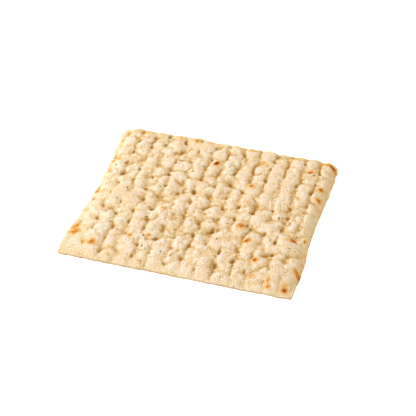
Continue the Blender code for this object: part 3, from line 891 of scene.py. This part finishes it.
@dataclass
class Bread:
    """The bread itself: the docked top, the thin cut rim and the underside it was baked on."""

    cut: Cut
    docker: Docker
    dough: Dough
    oven: Oven
    top_cells: tuple[int, int] = (292, 254)
    base_cells: tuple[int, int] = (146, 127)
    rim_scales: tuple[float, float] = (1.0012, 0.9995)       # of the cut side's bulge, and its foot
    rim_drop: float = 0.40
    rim_inset: float = 0.9940
    grain: float = 0.00012
    grain_cell: float = 0.0015
    grain_seed: int = 61
    crest_height: float = 0.0062
    # Painted into the golden tint: docked lows, partly the crust's own colour and partly painted shade, and
    # crests paler as a painted highlight.
    low_tint_and_shade: float = 1.2
    crest_highlight: float = 0.05
    # Painted shade in the creases and a painted highlight on crests, by how far a point lies below its
    # surroundings.
    cavity_passes: int = 10
    cavity_depth: float = 0.0005
    cavity_highlight: float = 0.35
    cavity_shade: float = 0.50
    far_warmth: float = 0.06
    slope_shade: tuple[float, float] = (0.12, 0.04)         # left of the middle, and right of it
    edge_browning_and_shadow: float = 0.42
    side_browning_and_shadow: tuple[float, float] = (0.62, 0.75)        # of the upper half and the lower one
    side_patches: tuple[float, float] = (0.75, 0.35)
    side_cell: float = 0.0060
    side_seed: int = 81
    base_dimple: float = 0.0005
    dimple_docking: float = 0.0034
    dimple_start: float = 0.35
    base_swell: float = 0.35
    base_patches: tuple[float, float, float] = (0.35, 0.5, 0.3)
    base_layers: tuple[float, float, float] = (0.0120, 0.0150, 0.0055)
    base_seed: int = 71
    base_toast: float = 0.55
    base_tint_and_shade: tuple[float, float] = (0.35, 0.5)           # between the dimples, and more in them, partly painted shade
    base_browning: float = 0.30

    def sheet(self, name: str, cells: tuple[int, int]) -> tuple[bpy.types.Object, Array, Array, Array]:
        """A flat grid, and where its points lie on the cut outline.

        Args:
            name: The object's name.
            cells: How many cells it has along X and Y.

        Returns:
            The grid, and its points' x, y and rise on the outline before it is centred.
        """
        grid = add_shape(bpy.ops.mesh.primitive_grid_add, x_subdivisions=cells[0],
                         y_subdivisions=cells[1], size=1.0)
        grid.name = name
        places = np.empty(len(grid.data.vertices) * 3)
        grid.data.vertices.foreach_get("co", places)
        u = places[0::3] * self.cut.length
        v = places[1::3] * self.cut.width
        return grid, *self.cut.lay_out(u, v)

    def set_points(self, grid: bpy.types.Object, x: Array, y: Array, z: Array) -> None:
        """Move a grid's points to their places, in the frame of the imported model."""
        centre_x = (x.min() + x.max()) / 2
        centre_y = (y.min() + y.max()) / 2
        places = np.stack([x - centre_x, y - centre_y, z], axis=-1)
        grid.data.vertices.foreach_set("co", places.ravel())
        grid.data.update()

    def cavity(self, z: Array) -> Array:
        """How far each point of the top lies below the skin around it.

        Args:
            z: The top's heights, in its grid's own order.

        Returns:
            The share of a full crease's depth, below 0 on crests.
        """
        columns, rows = self.top_cells
        heights = z.reshape(rows + 1, columns + 1)
        smooth = heights
        for _ in range(self.cavity_passes):
            for axis in (0, 1):
                beside = np.roll(smooth, 1, axis) + np.roll(smooth, -1, axis)
                smooth = 0.5 * smooth + 0.25 * beside
        depth = (smooth - heights).ravel() / self.cavity_depth
        return np.clip(depth, -self.cavity_highlight, 1.0)

    def make_top(self) -> bpy.types.Object:
        """The docked and puffed top, with its rim drawn down to the table."""
        top, x, y, rise = self.sheet("flatbread_crust", self.top_cells)
        z, docking = self.dough.crumb(x, y, rise, self.docker)
        z += rise * self.grain * noise(x, y, self.grain_cell, self.grain_seed)
        # Golden in docked lows, partly the crust's own colour and partly painted shade; paler on crests, a
        # painted highlight.
        low = np.clip(rise * docking / self.crest_height, -self.crest_highlight, 1.0)
        # Painted shade in the creases, and a painted highlight on crests.
        crease = self.cavity_shade * self.cavity(z) * rise
        # Darker and more golden towards the far side.
        far = self.far_warmth * y / self.cut.width
        # Painted shade on the rim's slopes, stronger on the left.
        slope = (1.0 - rise) * np.where(x < 0.0, *self.slope_shade)
        near_edge = (rise <= 0.0) & (y < 0.0)
        paint(top.data, "toast", self.oven.heat(x, y, z, self.cut))
        paint(top.data, "hollow", self.low_tint_and_shade * low + crease + far + slope)
        # Along the near edge: browning and painted contact shadow.
        paint(top.data, "sole", np.where(near_edge, self.edge_browning_and_shadow, 0.0))
        self.set_points(top, x, y, z)

        only(top)
        bpy.ops.object.mode_set(mode="EDIT")
        bpy.ops.mesh.select_all(action="SELECT")
        bpy.ops.mesh.region_to_loop()
        drop = -self.rim_drop * self.dough.rim_thickness
        for scale in self.rim_scales:
            bpy.ops.mesh.extrude_edges_move(TRANSFORM_OT_translate={"value": (0.0, 0.0, drop)})
            bpy.ops.transform.resize(value=(scale, scale, 1.0), center_override=(0.0, 0.0, 0.0))
        bpy.ops.object.mode_set(mode="OBJECT")
        self.brown_and_shade_rim(top.data, len(x))
        return top

    def brown_and_shade_rim(self, mesh: bpy.types.Mesh, first: int) -> None:
        """Brown the cut side unevenly, down to where it met the oven's floor: browning with painted contact
        shadow, darker on the lower half.

        Args:
            mesh: The top, with its side.
            first: The number of the side's first point.
        """
        count = len(mesh.vertices)
        places = np.empty(count * 3)
        mesh.vertices.foreach_get("co", places)
        level, swing = self.side_patches
        patches = level + swing * noise(places[0::3], places[1::3], self.side_cell, self.side_seed)
        lower = (first + count) // 2
        # Browning and painted contact shadow, darker on the lower half.
        upper_browning_and_shadow, lower_browning_and_shadow = self.side_browning_and_shadow
        side = {"sole": np.concatenate([upper_browning_and_shadow * patches[first:lower],
                                        lower_browning_and_shadow * patches[lower:]]),
                "toast": 0.0}
        values = np.empty(count, dtype=np.float32)
        for name, painted in side.items():
            layer = mesh.attributes[name].data
            layer.foreach_get("value", values)
            values[first:] = painted
            layer.foreach_set("value", values)

    def make_base(self) -> bpy.types.Object:
        """The underside: flat on the table, with shallow dimples under the pins."""
        base, x, y, rise = self.sheet("underside", self.base_cells)
        _, docking = self.dough.crumb(x, y, rise, self.docker)
        swell, broad, fine = (noise(x, y, cell, self.base_seed + layer)
                              for layer, cell in enumerate(self.base_layers))
        dimple = np.clip(docking / self.dimple_docking - self.dimple_start, 0.0, 1.0)
        z = self.base_dimple * rise * (dimple + self.base_swell * np.clip(swell, 0.0, 1.0))
        level, broad_share, fine_share = self.base_patches
        patches = np.clip(level + broad_share * broad + fine_share * fine, 0.0, 1.0)
        # More of the golden tint in the dimples, partly painted shade.
        warmth, more = self.base_tint_and_shade
        paint(base.data, "toast", self.base_toast * patches * (1.0 - dimple) * rise)
        paint(base.data, "hollow", np.clip(warmth + more * dimple, 0.0, 1.0))
        paint(base.data, "sole", self.base_browning * patches)
        self.set_points(base, x * self.rim_inset, y * self.rim_inset, z)
        base.data.flip_normals()
        return base

    def build(self) -> bpy.types.Object:
        """Join the top and the underside along the rim and dress them as crust."""
        top = self.make_top()
        base = self.make_base()
        only(top)
        base.select_set(True)
        bpy.ops.object.join()
        bpy.ops.object.mode_set(mode="EDIT")
        bpy.ops.mesh.select_mode(type="EDGE")
        bpy.ops.mesh.select_all(action="DESELECT")
        bpy.ops.mesh.select_non_manifold(extend=False, use_wire=False, use_boundary=True,
                                         use_multi_face=False, use_non_contiguous=False,
                                         use_verts=False)
        bpy.ops.mesh.bridge_edge_loops()
        bpy.ops.mesh.select_all(action="SELECT")
        bpy.ops.mesh.normals_make_consistent(inside=False)
        bpy.ops.object.mode_set(mode="OBJECT")
        bpy.ops.object.shade_smooth()
        top.data.materials.clear()
        top.data.materials.append(CrustFinish().make())
        return top


def scatter(name: str, pattern: bpy.types.Object, placings: list[Matrix], finish: HerbFinish,
            rng: np.random.Generator) -> bpy.types.Object:
    """Join copies of one modelled scrap into a single piece.

    Args:
        name: The piece's name.
        pattern: The scrap, modelled at the origin. It is removed.
        placings: Each copy's place, turn and size.
        finish: Their finish, which reads how light each copy is.
        rng: What draws that lightness.

    Returns:
        The joined piece.
    """
    tones = rng.uniform(0.0, finish.lightest, len(placings))
    points = np.array([vertex.co for vertex in pattern.data.vertices])
    faces = [tuple(face.vertices) for face in pattern.data.polygons]
    places: list[Array] = []
    corners: list[tuple[int, ...]] = []
    for number, placing in enumerate(placings):
        turn = np.array(placing.to_3x3())
        places.append(points @ turn.T + np.array(placing.translation))
        corners.extend(tuple(i + number * len(points) for i in face) for face in faces)
    mesh = bpy.data.meshes.new(name)
    mesh.from_pydata(np.concatenate(places).tolist(), [], corners)
    paint(mesh, "tone", np.repeat(tones, len(points)))
    mesh.materials.append(finish.make())
    piece = bpy.data.objects.new(name, mesh)
    bpy.context.scene.collection.objects.link(piece)
    only(piece)
    bpy.ops.object.shade_smooth_by_angle(angle=SHARP_EDGE)
    bpy.data.objects.remove(pattern, do_unlink=True)
    return piece


@dataclass
class Herbs:
    """The dried herbs and pepper in the skin: leaf scraps, thin stalks and dark grains."""

    bread: bpy.types.Object
    cut: Cut
    large_flakes: tuple[tuple[float, float], ...] = (
        (-0.0289, 0.0399), (-0.0104, 0.0379), (-0.0165, 0.0303), (-0.0454, 0.0549),
        (-0.0105, -0.0336), (-0.0130, -0.0583), (0.0124, -0.0158), (0.0400, -0.0200),
        (0.0465, 0.0162), (0.0562, -0.0031), (0.0643, -0.0056), (0.0708, -0.0321),
        (0.0690, 0.0502),
    )
    flakes: int = 44
    flake_length: tuple[float, float] = (0.0012, 0.0022)
    flake_breadth: tuple[float, float] = (0.0006, 0.0009)
    flake_thickness: float = 0.0005
    flake_clearance: float = 0.0090
    flake_spacing: float = 0.0075
    seed: int = 58
    look_down_from: float = 0.1
    clearance: float = 0.0040
    places_level: float = 0.35       # a place is kept with a chance of 0.5 + level + lean * x,
    places_lean: float = 0.45        # where x runs from -1, left, to 1, right
    grains: int = 420
    grain_size: tuple[float, float] = (0.00030, 0.00075)
    grain_flattening: float = 0.6
    stalks: int = 26
    stalk_length: tuple[float, float] = (0.0012, 0.0030)
    stalk_breadth: tuple[float, float] = (0.00028, 0.00045)
    stalk_flattening: float = 0.8

    def __post_init__(self) -> None:
        """Take the bread's surface to lay the herbs on."""
        mesh = self.bread.data
        self.surface = BVHTree.FromPolygons(
            [vertex.co for vertex in mesh.vertices], [tuple(face.vertices) for face in mesh.polygons])

    def lie(self, x: float, y: float, turn: float) -> Matrix:
        """A placing flat on the skin at (x, y), turned about the skin's normal."""
        above = Vector((x, y, self.look_down_from))
        place, normal, _, _ = self.surface.ray_cast(above, Vector((0.0, 0.0, -1.0)))
        lay = normal.to_track_quat("Z", "Y").to_matrix().to_4x4()
        return Matrix.Translation(place) @ lay @ Matrix.Rotation(turn, 4, "Z")

    def flake_places(self) -> list[Array]:
        """Where the flakes lie: the large ones, then others with more of them to the right."""
        rng = np.random.default_rng(self.seed)
        reach = np.array([self.cut.length, self.cut.width]) / 2 - self.flake_clearance
        places = [np.array(place) for place in self.large_flakes]
        while len(places) < self.flakes:
            share = rng.uniform(-1.0, 1.0, 2)
            lean = rng.uniform(-1.0, 1.0)
            place = share * reach
            clear = all(np.linalg.norm(place - other) > self.flake_spacing for other in places)
            if clear and share[0] > lean - 1.0:
                places.append(place)
        return places

    def random_place(self, rng: np.random.Generator) -> tuple[float, float]:
        """Somewhere on the bread, clear of the cut, more often towards the right."""
        while True:
            x, y, chance = rng.uniform(-1.0, 1.0, 3)
            if x * self.places_lean > chance * 0.5 - self.places_level:
                return (x * (self.cut.length / 2 - self.clearance),
                        y * (self.cut.width / 2 - self.clearance))

    @staticmethod
    def model_flake() -> bpy.types.Object:
        """A leaf scrap of unit length and breadth, with a torn outline and a raised rib."""
        flake = add_shape(bpy.ops.mesh.primitive_circle_add, vertices=8, radius=0.5, fill_type="NGON")
        bpy.ops.object.mode_set(mode="EDIT")
        bpy.ops.mesh.extrude_region_move(TRANSFORM_OT_translate={"value": (0.0, 0.0, 1.0)})
        bpy.ops.mesh.inset(thickness=0.12, depth=0.15)
        bpy.ops.mesh.select_all(action="SELECT")
        bpy.ops.transform.translate(value=(0.0, 0.0, -0.5))
        bpy.ops.mesh.normals_make_consistent(inside=False)
        bpy.ops.object.mode_set(mode="OBJECT")
        lobes, lobe_depth, tear, curl = 3.0, 0.22, 0.06, 0.5
        ragged = np.random.default_rng(7)
        for vertex in flake.data.vertices:
            angle = math.atan2(vertex.co.y, vertex.co.x)
            torn = 1.0 + lobe_depth * math.sin(lobes * angle + 1.0) + ragged.uniform(-tear, tear)
            vertex.co.x *= torn
            vertex.co.y *= torn
            vertex.co.z += curl * vertex.co.x ** 2
        return flake

    @staticmethod
    def model_grain() -> bpy.types.Object:
        """An angular grain of unit size."""
        grain = add_shape(bpy.ops.mesh.primitive_ico_sphere_add, subdivisions=1, radius=0.5)
        bpy.ops.object.mode_set(mode="EDIT")
        bpy.ops.transform.vertex_random(offset=0.12, seed=4)
        bpy.ops.object.mode_set(mode="OBJECT")
        return grain

    @staticmethod
    def model_stalk() -> bpy.types.Object:
        """A bent stalk of unit length and breadth along X, tapered to both ends."""
        stalk = add_shape(bpy.ops.mesh.primitive_cylinder_add, vertices=6, radius=0.5, depth=1.0,
                          rotation=(0.0, math.pi / 2, 0.0))
        bpy.ops.object.transform_apply(location=False, rotation=True, scale=False)
        bpy.ops.object.mode_set(mode="EDIT")
        bpy.ops.mesh.select_all(action="SELECT")
        bpy.ops.mesh.bisect(plane_co=(0.1, 0.0, 0.0), plane_no=(1.0, 0.0, 0.0))
        bpy.ops.object.mode_set(mode="OBJECT")
        end_taper, bow = 0.55, 0.25
        for vertex in stalk.data.vertices:
            taper = 1.0 - end_taper * abs(vertex.co.x) / 0.5
            vertex.co.y = vertex.co.y * taper + bow * vertex.co.x ** 2
            vertex.co.z *= taper
        return stalk

    def make_flakes(self) -> bpy.types.Object:
        """The leaf scraps, half sunk in the skin."""
        rng = np.random.default_rng(self.seed + 1)
        placings = []
        for x, y in self.flake_places():
            turn = rng.uniform(0.0, math.tau)
            size = (rng.uniform(*self.flake_length), rng.uniform(*self.flake_breadth))
            scale = Matrix.Diagonal((*size, self.flake_thickness, 1.0))
            placings.append(self.lie(x, y, turn) @ scale)
        finish = HerbFinish("dried_leaf", light="9f8d5a", dark="6b5a34", lightest=0.7)
        return scatter("herb_leaves", self.model_flake(), placings, finish, rng)

    def make_grains(self) -> bpy.types.Object:
        """Cracked pepper and seed dust: small dark angular grains."""
        rng = np.random.default_rng(self.seed + 2)
        placings = []
        for _ in range(self.grains):
            size = rng.uniform(*self.grain_size) * rng.uniform(self.grain_flattening, 1.0, 3)
            placing = self.lie(*self.random_place(rng), rng.uniform(0.0, math.tau))
            placings.append(placing @ Matrix.Diagonal((*size, 1.0)))
        finish = HerbFinish("cracked_pepper", light="94794a", dark="503f22", lightest=0.8)
        return scatter("pepper_grains", self.model_grain(), placings, finish, rng)

    def make_stalks(self) -> bpy.types.Object:
        """Thin dried stalks and needle leaves that lie along the skin."""
        rng = np.random.default_rng(self.seed + 3)
        placings = []
        for _ in range(self.stalks):
            length = rng.uniform(*self.stalk_length)
            breadth = rng.uniform(*self.stalk_breadth)
            placing = self.lie(*self.random_place(rng), rng.uniform(0.0, math.tau))
            scale = Matrix.Diagonal((length, breadth, breadth * self.stalk_flattening, 1.0))
            placings.append(placing @ scale)
        finish = HerbFinish("dried_stalk", light="a89a6c", dark="6b5c3a", lightest=0.9)
        return scatter("herb_stalks", self.model_stalk(), placings, finish, rng)


def direction(azimuth: float, elevation: float) -> Vector:
    """The way from the object to something at this azimuth and elevation, in degrees."""
    a = math.radians(azimuth)
    e = math.radians(elevation)
    return Vector((math.sin(a) * math.cos(e), -math.cos(a) * math.cos(e), math.sin(e)))


def stand(name: str, data: bpy.types.ID, back: Vector, distance: float, target: Vector) -> bpy.types.Object:
    """Stand a light or the camera off from a target that it faces.

    Args:
        name: The object's name.
        data: The light or camera.
        back: The way from the target to it.
        distance: How far off it is.
        target: What it faces.

    Returns:
        The new object.
    """
    thing = bpy.data.objects.new(name, data)
    bpy.context.scene.collection.objects.link(thing)
    thing.location = target + back * distance
    thing.rotation_euler = (-back).to_track_quat("-Z", "Y").to_euler()
    return thing


@dataclass(frozen=True)
class SoftLight:
    """A square soft light that faces the bread. Its turn is counted from the camera's azimuth."""

    name: str
    turn: float
    elevation: float
    distance: float
    size: float
    power: float
    colour: str

    def add(self, azimuth: float) -> None:
        """Add the light to a scene whose camera stands at this azimuth."""
        data = bpy.data.lights.new(self.name, "AREA")
        data.size = self.size
        data.energy = self.power
        data.color = linear(self.colour)[:3]
        stand(self.name, data, direction(azimuth + self.turn, self.elevation), self.distance, Vector())


@dataclass
class Studio:
    """The white table, the soft lights and the camera at the photo's viewing angle."""

    azimuth: float = 16.24
    elevation: float = 40.48
    distance: float = 0.9855
    lens: float = 120.0
    sensor: float = 36.0
    target: tuple[float, float, float] = (0.00345, 0.0013, 0.0)
    lights: tuple[SoftLight, ...] = (
        SoftLight("key", -94.0, 36.0, 1.7, 0.9, 32.0, "e4efff"),
        SoftLight("back", 180.0, 50.0, 0.55, 0.4, 0.42, "fff6e8"),
    )
    world_strength: float = 0.80
    fill_colour: str = "ffe9b9"
    floor_size: float = 6.0
    floor_middle: tuple[float, float, float] = (0.0, 1.0, -0.0001)

    def add_camera(self) -> None:
        """Set up the camera that the photo was taken with."""
        data = bpy.data.cameras.new("camera")
        data.lens = self.lens
        data.sensor_width = self.sensor
        data.clip_start = 0.01
        back = direction(self.azimuth, self.elevation)
        bpy.context.scene.camera = stand("camera", data, back, self.distance, Vector(self.target))

    def add_floor(self) -> bpy.types.Object:
        """Lay the paper just under the bread, with its middle behind it."""
        floor = add_shape(bpy.ops.mesh.primitive_plane_add, size=self.floor_size,
                          location=self.floor_middle)
        floor.name = "floor"
        floor.data.materials.append(PaperFinish().make())
        return floor

    def build(self) -> bpy.types.Object:
        """Set up the world, the lights, the camera and the floor, and return the floor."""
        world = bpy.data.worlds.new("white_room")
        bpy.context.scene.world = world
        world.use_nodes = True
        background = world.node_tree.nodes["Background"]
        background.inputs["Color"].default_value = linear(self.fill_colour)
        background.inputs["Strength"].default_value = self.world_strength
        for light in self.lights:
            light.add(self.azimuth)
        self.add_camera()
        bpy.context.scene.view_settings.view_transform = "Standard"
        return self.add_floor()


def report(piece: bpy.types.Object) -> None:
    """Log a finished piece's name, size and number of faces."""
    size = ", ".join(f"{side / MM:.1f}" for side in piece.dimensions)
    log.info("%s: %s mm, %d faces", piece.name, size, len(piece.data.polygons))


def main() -> None:
    """Build the bread, its herbs and the studio, and hang each piece on the frame."""
    logging.basicConfig(level=logging.INFO, format="%(message)s")
    cut = Cut()
    bread = Bread(cut, Docker(), Dough(), Oven()).build()
    herbs = Herbs(bread, cut)
    pieces = {
        bread: Slot.CRUST,
        herbs.make_flakes(): Slot.HERB,
        herbs.make_stalks(): Slot.HERB,
        herbs.make_grains(): Slot.HERB,
    }
    for piece, slot in pieces.items():
        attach(piece, BODY)
        report(piece)
    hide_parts(NODE)
    Studio().build()


if __name__ == "__main__":
    main()
